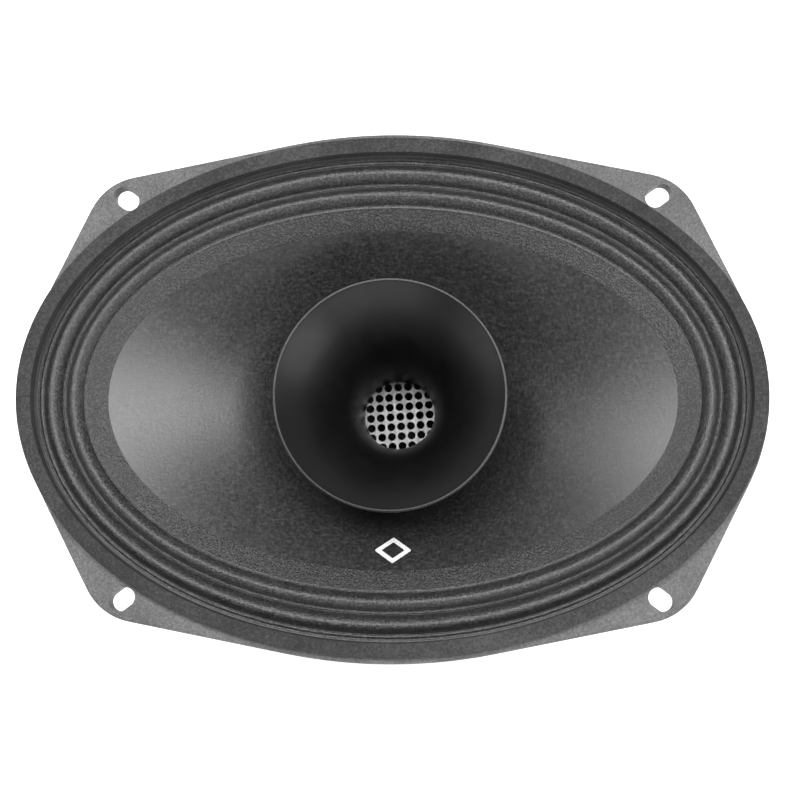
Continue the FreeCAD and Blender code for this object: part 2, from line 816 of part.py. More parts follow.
def horn():
    wall, lip_width, lip_depth = value("horn_wall"), value("horn_lip_width"), value("horn_lip_depth")
    base_low, base_top = value("floor_bottom"), value("horn_base_top")
    mouth, base = value("horn_mouth_height"), value("horn_base_radius")
    fit = 0.1
    seat, seat_top = value("screen_radius") + fit, base_low + value("screen_thickness") + fit
    under_lip = mouth - lip_depth - value("clearance")
    lip_outer = flare(mouth) + lip_width
    lip = Part.Arc(
        Vector(flare(mouth), 0, mouth),
        Vector(lip_outer - lip_width / 6, 0, mouth - lip_depth / 4),
        Vector(lip_outer, 0, mouth - lip_depth),
    )
    under = [Vector(lip_outer, 0, mouth - lip_depth), Vector(flare(under_lip) + wall, 0, under_lip)]
    foot = [(flare(base_top) + wall, base_top), (base, base_top), (base, base_low), (seat, base_low)]
    foot += [(seat, seat_top), (flare(seat_top), seat_top)]
    shapes = [
        flare_line(seat_top, mouth, 0),
        lip.toShape(),
        Part.makePolygon(under),
        flare_line(under_lip, base_top, wall),
        Part.makePolygon([Vector(radius, 0, height) for radius, height in foot]),
    ]
    profile = Part.Face(Part.Wire([edge for shape in shapes for edge in shape.Edges]))
    blank = feature("horn_blank", profile.revolve(Vector(0, 0, 0), Vector(0, 0, 1), 360))
    place = ("horn_hole", "horn_screw_circle", DRIVER_SCREW_ANGLES)
    ends = through("floor_bottom", "horn_base_top")
    keep(cut("horn", blank, holes(*place, "small_hole_radius", *ends)))
    face, seat, tip = "horn_base_top + small_head_height", "horn_base_top", "horn_screw_tip"
    sizes = ("small_screw_radius", "small_head_radius")
    screws("horn_screws", "horn_screw_circle", DRIVER_SCREW_ANGLES, face, seat, tip, *sizes)


def throat_screen():
    """A disc with a square grid of round holes, turned a little."""
    sheet_top = "floor_bottom + screen_thickness"
    disc = cylinder("screen_disc", "screen_radius", "floor_bottom", sheet_top)
    least_edge = 0.2
    reach = value("screen_radius") - value("screen_hole_radius") - least_edge
    steps = range(-4, 5)
    centres = [(i, j) for i in steps for j in steps if math.hypot(i, j) * value("screen_pitch") < reach]
    ends = through("floor_bottom", sheet_top)
    punches = []
    for n, (i, j) in enumerate(centres, start=1):
        place = (f"{i} * screen_pitch", f"{j} * screen_pitch")
        punches.append(cylinder(f"punch_{n}", "screen_hole_radius", *ends, *place))
    grid = group("punches", punches)
    grid.Placement = Placement(Vector(0, 0, 0), Rotation(Vector(0, 0, 1), value("screen_turn")))
    keep(cut("throat_screen", disc, [grid]))


def dust_seal():
    keep(tube("dust_seal", "seal_radius", "seal_inner_radius", "seal_rear", "seal_front"))


# The terminals and wiring


def blade(name, side, width):
    """One blade with its foot, the board's holes for it, and the rivet through the foot."""
    top = "ledge_top + board_thickness"
    foot_top = f"{top} + blade_thickness"
    back = "blade_plane + blade_thickness"
    low_side = f"{side} * blade_offset - {width} / 2"
    high_side = f"{side} * blade_offset + {width} / 2"
    foot_start = "board_inner_edge + blade_foot_inset"
    foot = block(f"{name}_foot", (low_side, foot_start, top), (high_side, back, foot_top))
    leg = block(f"{name}_leg", (low_side, "blade_plane", "blade_low"), (high_side, back, foot_top))
    place = (f"{side} * blade_rivet_offset", "board_inner_edge + blade_rivet_inset")
    hole = cylinder(f"{name}_foot_hole", "blade_rivet_hole_radius", *through(top, foot_top), *place)
    keep(cut(f"terminal_{name}", fuse(f"{name}_blade", [foot, leg]), [hole]))
    low, high = through("ledge_top", top)
    slot = block(
        f"{name}_slot",
        (f"{low_side} - blade_slot_gap", "blade_plane - blade_slot_gap", low),
        (f"{high_side} + blade_slot_gap", f"{back} + blade_slot_gap", high),
    )
    cutters = [slot, cylinder(f"{name}_board_hole", "blade_rivet_hole_radius", low, high, *place)]
    shank = cylinder(f"{name}_rivet_shank", "blade_rivet_radius", "ledge_top", foot_top, *place)
    head_ends = (foot_top, f"{foot_top} + blade_rivet_head_height")
    head = cylinder(f"{name}_rivet_head", "blade_rivet_head_radius", *head_ends, *place)
    return cutters, fuse(f"{name}_rivet", [shank, head])


def board_rivet(top):
    place = (0, "board_rivet_up")
    head = "board_rivet_head_radius"
    tail_end = "ledge_bottom - board_rivet_tail_height"
    shapes = [
        cylinder("board_rivet_shank", "board_rivet_radius", "ledge_bottom", top, *place),
        cylinder("board_rivet_head", head, top, f"{top} + board_rivet_head_height", *place),
        cylinder("board_rivet_tail", head, tail_end, "ledge_bottom", *place),
    ]
    return fuse("board_rivet", shapes)


def terminals():
    top = "ledge_top + board_thickness"
    low = ("-1 * board_half_length", "board_inner_edge", "ledge_top")
    board = block("board_blank", low, ("board_half_length", "board_outer_edge", top))
    place = (0, "board_rivet_up")
    tools = [cylinder("board_hole", "board_rivet_hole_radius", *through("ledge_top", top), *place)]
    rivets = [board_rivet(top)]
    for name, side in (("positive", 1), ("negative", -1)):
        cutters, rivet = blade(name, side, f"{name}_blade_width")
        tools += cutters
        rivets.append(rivet)
    keep(cut("terminal_board", board, tools))
    keep(group("terminal_rivets", rivets))


def capacitor():
    """The tweeter's filter capacitor, across the rear of the back plate beside the driver."""
    body = doc.addObject("Part::Cylinder", "crossover_capacitor")
    body.Placement = Placement(Vector(0, 0, 0), Rotation(Vector(0, 1, 0), 90))
    bind(body, Radius="capacitor_radius", Height="2 * capacitor_half_length")
    bind(body, Placement__Base__x="-1 * capacitor_half_length", Placement__Base__y="capacitor_up")
    bind(body, Placement__Base__z="capacitor_height")
    keep(body)


def hookup_wires():
    """The wires from the blades, down beside the magnet, to the capacitor and to the driver."""
    can_end = value("capacitor_half_length")
    can_up = value("capacitor_up")
    can_height = value("capacitor_height")
    tab_end = value("driver_tab_end") + 0.1
    tab_height = value("ring_rear") - value("driver_tab_thickness") / 2
    down = [(11, 72.15, -38.5), (11, 72.3, -49.5), (11.6, 67, -59)]
    down += [(13.2, 64.2, -68.5), (15.4, 61.8, -79)]
    wire(
        "hookup_wire_positive",
        [*down, (17, 55, -86.5), (18, can_up, can_height), (can_end, can_up, can_height)],
        "wire_diameter",
    )
    mirrored = [(-across, up, height) for across, up, height in down]
    wire(
        "hookup_wire_negative",
        [*mirrored, (-12, 56, -88.8), (-3, 52.5, -94), (6, 50, tab_height), (6, tab_end, tab_height)],
        "wire_diameter",
    )
    wire(
        "capacitor_lead",
        [
            (-can_end, can_up, can_height),
            (-16.5, can_up, can_height),
            (-15.5, 46.5, -93.5),
            (-6, 49, tab_height),
            (-6, tab_end, tab_height),
        ],
        "wire_diameter",
    )


# The compression driver


def driver_magnet():
    profile = [
        ("throat_radius", "back_plate_rear"),
        ("driver_plate_radius", "back_plate_rear"),
        ("driver_plate_radius", "driver_plate_rear"),
        ("driver_pole_radius", "driver_plate_rear"),
        ("driver_pole_radius", "driver_pole_rear"),
        ("driver_bore_radius", "driver_pole_rear"),
    ]
    ends = through("driver_plate_rear", "back_plate_rear")
    place = ("driver_mount_hole", "driver_screw_circle", DRIVER_SCREW_ANGLES)
    mount_holes = holes(*place, "small_thread_radius", *ends)
    keep(cut("driver_pole_plate", turned("driver_pole_blank", profile), mount_holes))
    sizes = ("small_screw_radius", "small_head_radius")
    face, tip = "driver_plate_rear - small_head_height", "driver_screw_tip"
    circle = ("driver_screw_circle", DRIVER_SCREW_ANGLES)
    screws("driver_mount_screws", *circle, face, "driver_plate_rear", tip, *sizes)
    radii = ("driver_magnet_radius", "driver_magnet_inner_radius")
    keep(tube("driver_magnet", *radii, "driver_magnet_rear", "driver_plate_rear"))
    radii = ("driver_top_plate_radius", "driver_gap_radius")
    plate = tube("driver_top_blank", *radii, "driver_top_plate_rear", "driver_magnet_rear")
    ends = ("driver_top_plate_rear - clearance", "cover_thread_end")
    place = ("driver_thread_hole", "cover_post_circle", DRIVER_SCREW_ANGLES)
    keep(cut("driver_top_plate", plate, holes(*place, "small_thread_radius", *ends)))


def dome_centre():
    """The height of the centre of the dome's sphere."""
    radius, base = value("dome_radius"), value("dome_base_radius")
    return value("dome_base_height") + math.sqrt(radius**2 - base**2)


def plug_bullet():
    """A rounded nose that points forward, and a hollow tail that follows the dome."""
    follow = value("dome_radius") - value("dome_thickness") - value("plug_gap")
    widest = value("plug_radius")
    tip, shoulder = value("plug_tip"), value("plug_rear")
    steps, roundness = 5, 1.3
    nose = []
    for i in range(steps + 1):
        share = i / steps
        nose.append((widest * math.sin(share * math.pi / 2), tip + (shoulder - tip) * share**roundness))
    tail = []
    for i in range(steps):
        radius = widest * (1 - i / (steps - 1))
        tail.append((radius, dome_centre() - math.sqrt(follow**2 - radius**2)))
    return turned("plug_bullet", nose + tail)


def plug_fins():
    """Three fins that hold the bullet in the bore."""
    low = ("plug_fin_inner_radius", "plug_fin_thickness / -2", "plug_fin_rear")
    high = ("driver_bore_radius", "plug_fin_thickness / 2", "plug_fin_front")
    fins = []
    for i, angle in enumerate((90, 210, 330), start=1):
        fins.append(spun(f"plug_fin_{i}", block(f"plug_fin_{i}_plate", low, high), angle))
    bore = doc.addObject("Part::Cone", "plug_bore")
    bind(bore, Radius1="driver_bore_radius", Radius2="throat_radius")
    bind(bore, Height="back_plate_rear - ( driver_pole_rear )", Placement__Base__z="driver_pole_rear")
    return common("plug_fins", fuse("plug_fin_plates", fins), bore)


def phase_plug():
    keep(fuse("phase_plug", [plug_bullet(), plug_fins()]))


def sphere(name, radius):
    ball = doc.addObject("Part::Sphere", name)
    bind(ball, Radius=radius)
    return bind(ball, Placement__Base__z=dome_centre())


def diaphragm():
    inside = sphere("dome_inside", "dome_radius - dome_thickness")
    shell = cut("dome_shell", sphere("dome_outside", "dome_radius"), [inside])
    behind = cylinder("dome_room", "dome_base_radius + clearance", "pad_front", "dome_base_height")
    keep(common("diaphragm", shell, behind))
    former = ("driver_former_radius", "dome_base_radius", "dome_base_height", "driver_former_front")
    keep(tube("driver_coil_former", *former))
    radii = ("driver_winding_radius", "driver_former_radius")
    keep(tube("driver_coil_winding", *radii, "driver_winding_rear", "driver_winding_front"))


def diaphragm_suspension():
    """A thin ring with one roll, between the coil's former and the clamping ring."""
    flat = "driver_top_plate_rear - suspension_gap"
    roll = "driver_former_radius + suspension_roll_start"
    front = [
        ("driver_former_radius", flat),
        (roll, flat),
        (f"{roll} + suspension_roll_width / 2", f"{flat} - suspension_roll_depth"),
        (f"{roll} + suspension_roll_width", flat),
        ("suspension_radius", flat),
    ]
    back = [(radius, f"{height} - suspension_thickness") for radius, height in reversed(front)]
    keep(turned("diaphragm_suspension", front + back))


def diaphragm_ring():
    """The plastic ring that clamps the suspension, with a tongue for the two tabs."""
    outer = cylinder("ring_disc", "driver_magnet_radius", "ring_rear", "driver_top_plate_rear")
    corner = ("-1 * tongue_half_width", "cover_post_circle", "ring_rear")
    tongue = block("ring_tongue", corner, ("tongue_half_width", "tongue_end", "driver_top_plate_rear"))
    ends = through("ring_rear", "driver_top_plate_rear")
    tools = [
        cylinder("ring_bore", "ring_inner_radius", *ends),
        cylinder("ring_step", "ring_step_radius", "driver_top_plate_rear - ring_relief", ends[1]),
    ]
    tools += holes("ring_hole", "cover_post_circle", DRIVER_SCREW_ANGLES, "small_hole_radius", *ends)
    keep(cut("diaphragm_ring", fuse("ring_blank", [outer, tongue]), tools))
    start = "driver_magnet_radius + driver_tab_gap"
    sides = (("left", "-1 * driver_tab_offset - driver_tab_width"), ("right", "driver_tab_offset"))
    tabs = []
    for name, side in sides:
        low = (side, start, "ring_rear - driver_tab_thickness")
        high = (f"{side} + driver_tab_width", "driver_tab_end", "ring_rear")
        tabs.append(block(f"driver_tab_{name}", low, high))
    keep(group("driver_terminals", tabs))


def driver_cover():
    """A cup over the diaphragm, with a post round each screw."""
    cup = cylinder("cover_cup", "driver_magnet_radius", "cover_rear", "ring_rear")
    rear = value("cover_rear") + 0.01
    soft_cup = softened("cover_soft_cup", cup, "cover_edge_round", lambda edge: edge.BoundBox.ZMax < rear)
    floor = "cover_rear + cover_wall"
    room = ("driver_magnet_radius - cover_wall", floor, "ring_rear + clearance")
    circle = ("cover_post_circle", DRIVER_SCREW_ANGLES)
    ends = ("cover_rear + cover_edge_round", "ring_rear")
    posts = holes("cover_post", *circle, "cover_post_radius", *ends)
    bores = holes("cover_bore", *circle, "small_hole_radius", *through("cover_rear", "ring_rear"))
    sink_ends = ("cover_rear - clearance", "cover_rear + cover_sink_depth")
    bores += holes("cover_sink", *circle, "cover_sink_radius", *sink_ends)
    walls = cut("cover_wall_blank", soft_cup, [cylinder("cover_hollow", *room)])
    keep(cut("driver_cover", fuse("cover_shell", [walls, *posts]), bores))
    ends = ("cover_screw_face", "cover_rear + cover_sink_depth", "cover_screw_tip")
    screws("driver_cover_screws", *circle, *ends, "small_screw_radius", "small_head_radius")
    keep(cylinder("damping_pad", "pad_radius", floor, "pad_front"))


def check_document():
    """Stops if any object failed or any piece has no sound shape."""
    for thing in doc.Objects:
        if {"Invalid", "Error"} & set(thing.State):
            raise SystemExit(f"{thing.Name} failed: {thing.State}")
    for thing in nodes:
        if thing.Shape.isNull() or not thing.Shape.isValid() or not thing.Shape.Solids:
            raise SystemExit(f"{thing.Label} has no valid shape")


def export_pieces():
    os.makedirs("parts", exist_ok=True)
    for thing in nodes:
        thing.Shape.exportStep(os.path.join("parts", thing.Label + ".step"))


fill_sheet()
basket()
gaskets()
cone()
surround()
spider()
voice_coil()
tinsel_leads()
motor()
magnet_boot()
horn()
throat_screen()
dust_seal()
terminals()
capacitor()
hookup_wires()
driver_magnet()
phase_plug()
diaphragm()
diaphragm_suspension()
diaphragm_ring()
driver_cover()
doc.recompute()
check_document()
export_pieces()
print(len(nodes), "pieces")
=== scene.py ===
import json
import math

import bmesh
import bpy
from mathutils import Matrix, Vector


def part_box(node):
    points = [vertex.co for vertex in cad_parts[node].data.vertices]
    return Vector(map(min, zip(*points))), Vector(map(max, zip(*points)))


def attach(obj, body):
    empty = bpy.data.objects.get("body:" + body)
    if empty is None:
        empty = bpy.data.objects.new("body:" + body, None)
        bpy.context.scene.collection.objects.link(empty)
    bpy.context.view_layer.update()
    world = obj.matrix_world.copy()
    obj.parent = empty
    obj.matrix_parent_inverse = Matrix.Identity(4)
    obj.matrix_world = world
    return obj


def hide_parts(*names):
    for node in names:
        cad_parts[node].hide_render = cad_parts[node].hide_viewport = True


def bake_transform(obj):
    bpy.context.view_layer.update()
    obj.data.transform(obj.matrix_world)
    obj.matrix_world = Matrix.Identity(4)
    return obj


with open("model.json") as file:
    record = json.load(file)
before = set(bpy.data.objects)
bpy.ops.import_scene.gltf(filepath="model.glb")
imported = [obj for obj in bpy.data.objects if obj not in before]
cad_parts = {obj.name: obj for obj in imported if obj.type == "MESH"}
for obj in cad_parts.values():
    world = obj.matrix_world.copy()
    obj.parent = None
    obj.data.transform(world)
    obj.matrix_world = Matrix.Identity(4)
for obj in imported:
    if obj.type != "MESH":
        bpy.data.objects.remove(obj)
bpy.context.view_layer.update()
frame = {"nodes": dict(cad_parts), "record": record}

# A 6 x 9 inch coaxial car speaker, face up on a pale floor. +X is along the oval and +Z is the way it faces.
# Lengths are in millimetres and become metres as each mesh is made.

MM = 0.001
TAU = 2 * math.pi


def box(node):
    """A CAD node's lowest and highest corners, in millimetres."""
    low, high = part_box(node)
    return low / MM, high / MM


def middle(node):
    low, high = box(node)
    return (low + high) / 2


# Meshes


LONGEST_TRIM = 0.48  # how much of a side one rounded corner may take


def rounded(corners, closed=True, steps=6):
    """A line through (across, up, radius) corners, each rounded off by about its radius."""
    points = []
    for i, (across, up, radius) in enumerate(corners):
        here = Vector((across, up))
        if radius == 0 or (not closed and i in (0, len(corners) - 1)):
            points.append(here)
            continue
        before = Vector(corners[i - 1][:2]) - here
        after = Vector(corners[(i + 1) % len(corners)][:2]) - here
        trim = radius / math.tan(before.angle(after) / 2)
        trim = min(trim, before.length * LONGEST_TRIM, after.length * LONGEST_TRIM)
        start, end = here + before.normalized() * trim, here + after.normalized() * trim
        for step in range(steps + 1):
            t = step / steps
            points.append(start * (1 - t) ** 2 + here * 2 * t * (1 - t) + end * t**2)
    return points


def banded(name, rings, closed=True, round_way=True):
    """A mesh through rings of equally many points.

    closed joins the last ring to the first, and round_way joins each ring's last point to its first.
    """
    count = len(rings[0])
    turns = len(rings) if closed else len(rings) - 1
    mesh = bpy.data.meshes.new(name)
    vertices = [tuple(Vector(point) * MM) for ring in rings for point in ring]
    faces = []
    for i in range(turns):
        first, second = i * count, ((i + 1) % len(rings)) * count
        for j in range(count if round_way else count - 1):
            k = (j + 1) % count
            faces.append((first + j, first + k, second + k, second + j))
    mesh.from_pydata(vertices, [], faces)
    return shown(name, mesh)


def shown(name, mesh):
    """Puts a mesh in the scene, with doubled points merged, faces turned outward and curves smooth."""
    work = bmesh.new()
    work.from_mesh(mesh)
    bmesh.ops.remove_doubles(work, verts=work.verts, dist=1e-6)
    bmesh.ops.recalc_face_normals(work, faces=work.faces)
    work.to_mesh(mesh)
    work.free()
    mesh.shade_smooth()
    piece = bpy.data.objects.new(name, mesh)
    bpy.context.scene.collection.objects.link(piece)
    return piece


def ring(radius, height, count=192):
    """Points of a circle about the speaker's axis."""
    return [
        (radius * math.cos(TAU * i / count), radius * math.sin(TAU * i / count), height) for i in range(count)
    ]


def lathe(name, profile, closed=True, count=192):
    """A profile of (radius, height) points turned about the speaker's axis."""
    return banded(name, [ring(radius, height, count) for radius, height in profile], closed)


def oval(half_length, half_width, height, count=384, start=0.0, end=TAU):
    """Points of an oval, or of the arc of it between two angles."""
    whole = end - start >= TAU
    steps = count if whole else count - 1
    angles = [start + (end - start) * i / steps for i in range(count)]
    return [(half_length * math.cos(a), half_width * math.sin(a), height) for a in angles]


# Materials

WAVE_RATE = 20  # the wave texture turns this many radians per unit of its scale
NOISE_RANGE = (0.3, 0.7)  # what most of a noise texture's values lie between


class Finish:
    """Builds one procedural material. Sizes of grain are in millimetres."""

    def __init__(self, name, colour, roughness, metallic=0.0, **sockets):
        self.material = bpy.data.materials.new(name)
        self.material.use_nodes = True
        self.tree = self.material.node_tree
        self.shader = self.tree.nodes["Principled BSDF"]
        self.place = self.node("ShaderNodeTexCoord").outputs["Object"]
        self.normal = None
        self.shader.inputs["Base Color"].default_value = (*colour, 1)
        self.shader.inputs["Roughness"].default_value = roughness
        self.shader.inputs["Metallic"].default_value = metallic
        for socket, value in sockets.items():
            self.shader.inputs[socket.replace("_", " ")].default_value = value

    def node(self, kind, **settings):
        node = self.tree.nodes.new(kind)
        for setting, value in settings.items():
            setattr(node, setting, value)
        return node

    def feed(self, node, **inputs):
        """Links or sets inputs by name."""
        for name, value in inputs.items():
            socket = node.inputs[name.replace("_", " ")]
            if isinstance(value, bpy.types.NodeSocket):
                self.tree.links.new(value, socket)
            else:
                socket.default_value = value
        return node

    def noise(self, grain, detail=4.0, roughness=0.6, place=None):
        node = self.node("ShaderNodeTexNoise")
        scale = 1 / (grain * MM)
        self.feed(node, Vector=place or self.place, Scale=scale, Detail=detail, Roughness=roughness)
        return node.outputs["Fac"]

    def cells(self, grain):
        node = self.node("ShaderNodeTexVoronoi", feature="F1")
        self.feed(node, Vector=self.place, Scale=1 / (grain * MM))
        return node.outputs["Distance"]

    def threads(self, pitch, direction, distortion=0.0):
        """Parallel ridges a pitch apart."""
        node = self.node("ShaderNodeTexWave", wave_type="BANDS", bands_direction=direction)
        scale = TAU / WAVE_RATE / (pitch * MM)
        self.feed(node, Vector=self.place, Scale=scale, Distortion=distortion, Detail=2.0)
        return node.outputs["Fac"]

    def stretched(self, x, y, z):
        """The place with each axis scaled, for grain that is longer one way."""
        node = self.node("ShaderNodeMapping")
        self.feed(node, Vector=self.place, Scale=(x, y, z))
        return node.outputs["Vector"]

    def around_axis(self):
        """Distance from the speaker's axis and height, for marks left by turning."""
        apart = self.feed(self.node("ShaderNodeSeparateXYZ"), Vector=self.place)
        x, y = apart.outputs["X"], apart.outputs["Y"]
        together = self.node("ShaderNodeCombineXYZ")
        distance = self.maths("SQRT", self.sum(self.times(x, x), self.times(y, y)))
        self.feed(together, X=distance, Z=apart.outputs["Z"])
        return together.outputs["Vector"]

    def maths(self, operation, *values):
        node = self.node("ShaderNodeMath", operation=operation)
        for socket, value in zip(node.inputs, values):
            if isinstance(value, bpy.types.NodeSocket):
                self.tree.links.new(value, socket)
            else:
                socket.default_value = value
        return node.outputs["Value"]

    def times(self, first, second):
        return self.maths("MULTIPLY", first, second)

    def sum(self, first, second):
        return self.maths("ADD", first, second)

    def levels(self, value, low, high, to_low, to_high):
        node = self.node("ShaderNodeMapRange")
        self.feed(node, Value=value, From_Min=low, From_Max=high, To_Min=to_low, To_Max=to_high)
        return node.outputs["Result"]

    def colours(self, value, *stops):
        """Colours the surface by a value through (position, colour) stops."""
        node = self.node("ShaderNodeValToRGB")
        self.feed(node, Fac=value)
        ramp = node.color_ramp
        while len(ramp.elements) < len(stops):
            ramp.elements.new(0.5)
        for element, (position, colour) in zip(ramp.elements, stops):
            element.position = position
            element.color = (*colour, 1)
        self.tree.links.new(node.outputs["Color"], self.shader.inputs["Base Color"])
        return self

    def rough(self, value, low, high):
        """Varies the roughness between low and high by a noise."""
        self.tree.links.new(self.levels(value, *NOISE_RANGE, low, high), self.shader.inputs["Roughness"])
        return self

    def bump(self, height, depth):
        """Relief of a depth in millimetres, on top of any before it."""
        node = self.feed(self.node("ShaderNodeBump"), Height=height, Distance=depth * MM, Strength=1.0)
        if self.normal:
            self.tree.links.new(self.normal, node.inputs["Normal"])
        self.normal = node.outputs["Normal"]
        self.tree.links.new(self.normal, self.shader.inputs["Normal"])
        return self


def grey(level, warmth=0.0):
    """A near-neutral colour."""
    return (level * (1 + warmth), level, level * (1 - warmth))


def powder_coat():
    finish = Finish("powder_coat", grey(0.11), 0.45)
    grains = finish.noise(0.6, 4, 0.7)
    tone = finish.sum(finish.times(finish.noise(24), 0.3), finish.times(grains, 0.7))
    finish.colours(tone, (0.4, grey(0.07)), (0.5, grey(0.115)), (0.6, grey(0.18)))
    finish.rough(grains, 0.38, 0.58)
    return finish.bump(grains, 0.22).bump(finish.noise(2.2, 3), 0.06)


def gasket_board():
    finish = Finish("gasket_board", grey(0.03), 0.8)
    crumbs = finish.noise(0.7, 5, 0.7)
    tone = finish.sum(finish.times(finish.noise(30), 0.3), finish.times(crumbs, 0.7))
    finish.colours(tone, (0.4, grey(0.015)), (0.5, grey(0.034)), (0.6, grey(0.07)))
    finish.rough(crumbs, 0.7, 0.92)
    return finish.bump(crumbs, 0.28).bump(finish.noise(9, 2), 0.12)


def cone_paper():
    finish = Finish("cone_paper", grey(0.02), 0.5, Specular_IOR_Level=0.9)
    fibres = finish.noise(0.8, 6, 0.7, finish.stretched(1, 0.4, 1))
    crossed = finish.noise(0.8, 6, 0.7, finish.stretched(0.4, 1, 1))
    felt = finish.times(finish.sum(fibres, crossed), 0.5)
    tone = finish.sum(finish.times(finish.noise(30, 3), 0.1), finish.times(felt, 0.9))
    finish.colours(tone, (0.4, grey(0.009)), (0.5, grey(0.022)), (0.6, grey(0.05)))
    finish.rough(felt, 0.3, 0.5)
    return finish.bump(felt, 0.09)


def surround_cloth():
    finish = Finish("surround_cloth", grey(0.02), 0.5, Specular_IOR_Level=1.0)
    weave = finish.times(finish.sum(finish.threads(0.55, "X", 1.0), finish.threads(0.55, "Y", 1.0)), 0.5)
    knots = finish.cells(0.6)
    lumps = finish.noise(0.75, 4, 0.65)
    tone = finish.sum(finish.times(knots, 0.5), finish.times(lumps, 0.5))
    finish.colours(tone, (0.38, grey(0.002)), (0.48, grey(0.008)), (0.6, grey(0.05)))
    finish.rough(lumps, 0.34, 0.58)
    return finish.bump(weave, 0.03).bump(knots, 0.06).bump(lumps, 0.24)


def surround_band():
    """The cloth where it is glued on the cone: flat, coarse and glittering with dried glue."""
    finish = Finish("surround_band", grey(0.02), 0.45, Specular_IOR_Level=0.9)
    crumbs = finish.cells(0.65)
    fine = finish.noise(0.62, 4, 0.65)
    tone = finish.sum(finish.times(crumbs, 0.4), finish.times(fine, 0.6))
    finish.colours(tone, (0.38, grey(0.002)), (0.48, grey(0.009)), (0.6, grey(0.045)))
    finish.rough(fine, 0.3, 0.58)
    return finish.bump(crumbs, 0.1).bump(fine, 0.4)


def spider_cloth():
    finish = Finish("spider_cloth", (0.5, 0.36, 0.16), 0.6)
    weave = finish.maths("MAXIMUM", finish.threads(0.7, "X", 0.3), finish.threads(0.7, "Y", 0.3))
    tone = finish.sum(finish.times(weave, 0.6), finish.times(finish.noise(6), 0.4))
    finish.colours(tone, (0.2, (0.2, 0.11, 0.03)), (0.6, (0.42, 0.27, 0.1)), (0.9, (0.58, 0.42, 0.2)))
    finish.rough(finish.noise(2), 0.45, 0.7)
    return finish.bump(weave, 0.14)


def horn_plastic():
    finish = Finish("horn_plastic", grey(0.006), 0.36, Specular_IOR_Level=0.4)
    finish.colours(finish.noise(26), (0.35, grey(0.004)), (0.7, grey(0.008)))
    finish.rough(finish.noise(7, 3), 0.33, 0.4)
    return finish.bump(finish.noise(22, 1), 0.03)


def driver_plastic():
    finish = Finish("driver_plastic", grey(0.022), 0.5)
    finish.colours(finish.noise(9), (0.35, grey(0.016)), (0.7, grey(0.028)))
    finish.rough(finish.noise(3), 0.42, 0.62)
    return finish.bump(finish.cells(0.5), 0.03).bump(finish.noise(8, 2), 0.04)


def screen_metal():
    finish = Finish("screen_metal", grey(0.5), 0.4, metallic=1.0)
    lines = finish.noise(0.5, 3, 0.5, finish.stretched(1, 0.06, 1))
    finish.colours(finish.noise(3), (0.3, grey(0.13)), (0.7, grey(0.22)))
    finish.rough(lines, 0.42, 0.55)
    return finish.bump(lines, 0.01)


def plated_steel():
    finish = Finish("plated_steel", grey(0.5), 0.35, metallic=1.0)
    turning = finish.noise(0.5, 3, 0.6, finish.around_axis())
    cloud = finish.noise(14, 4)
    finish.colours(cloud, (0.3, (0.24, 0.24, 0.24)), (0.5, (0.31, 0.31, 0.3)), (0.75, (0.38, 0.36, 0.31)))
    finish.rough(finish.sum(finish.times(turning, 0.5), finish.times(cloud, 0.5)), 0.34, 0.54)
    return finish.bump(turning, 0.02)


def black_steel():
    finish = Finish("black_steel", grey(0.04), 0.4, metallic=0.6)
    finish.colours(finish.noise(1.5), (0.35, grey(0.025)), (0.7, grey(0.06)))
    finish.rough(finish.noise(0.8), 0.32, 0.5)
    return finish.bump(finish.noise(0.3, 3), 0.015)


def ferrite():
    finish = Finish("ferrite", grey(0.06), 0.55)
    tone = finish.sum(finish.times(finish.noise(8), 0.5), finish.times(finish.cells(0.5), 0.5))
    finish.colours(tone, (0.25, grey(0.04)), (0.6, grey(0.08)))
    finish.rough(finish.noise(1.2), 0.45, 0.7)
    return finish.bump(finish.noise(0.4, 5), 0.05).bump(finish.cells(2.2), 0.05)


def boot_rubber():
    finish = Finish("boot_rubber", grey(0.02), 0.6)
    finish.colours(finish.noise(16), (0.35, grey(0.014)), (0.7, grey(0.027)))
    finish.rough(finish.noise(2.5), 0.5, 0.72)
    return finish.bump(finish.noise(0.5, 4), 0.04).bump(finish.noise(12, 2), 0.12)


def foam():
    finish = Finish("foam", grey(0.03), 0.95)
    pores = finish.cells(0.8)
    finish.colours(pores, (0.05, grey(0.008)), (0.5, grey(0.045)))
    finish.rough(finish.noise(1), 0.85, 1.0)
    return finish.bump(pores, 0.4).bump(finish.noise(3), 0.3)


def board_fibre():
    finish = Finish("board_fibre", (0.09, 0.05, 0.03), 0.5)
    fibres = finish.noise(0.6, 5, 0.6, finish.stretched(0.2, 1, 1))
    finish.colours(fibres, (0.3, (0.06, 0.03, 0.016)), (0.7, (0.14, 0.08, 0.045)))
    finish.rough(fibres, 0.42, 0.62)
    return finish.bump(fibres, 0.04)


def terminal_brass():
    finish = Finish("terminal_brass", (0.8, 0.66, 0.35), 0.3, metallic=1.0)
    tarnish = finish.noise(3)
    finish.colours(tarnish, (0.3, (0.62, 0.5, 0.26)), (0.5, (0.78, 0.66, 0.38)), (0.8, (0.84, 0.76, 0.55)))
    finish.rough(finish.noise(0.8, 4), 0.22, 0.42)
    return finish.bump(finish.noise(0.4, 3, 0.5, finish.stretched(1, 1, 0.1)), 0.015)


def capacitor_sleeve():
    finish = Finish("capacitor_sleeve", (0.02, 0.05, 0.18), 0.25, Coat_Weight=0.4, Coat_Roughness=0.1)
    finish.colours(finish.noise(5), (0.35, (0.014, 0.035, 0.13)), (0.7, (0.028, 0.06, 0.2)))
    finish.rough(finish.noise(2), 0.2, 0.34)
    return finish.bump(finish.noise(3, 2), 0.05)


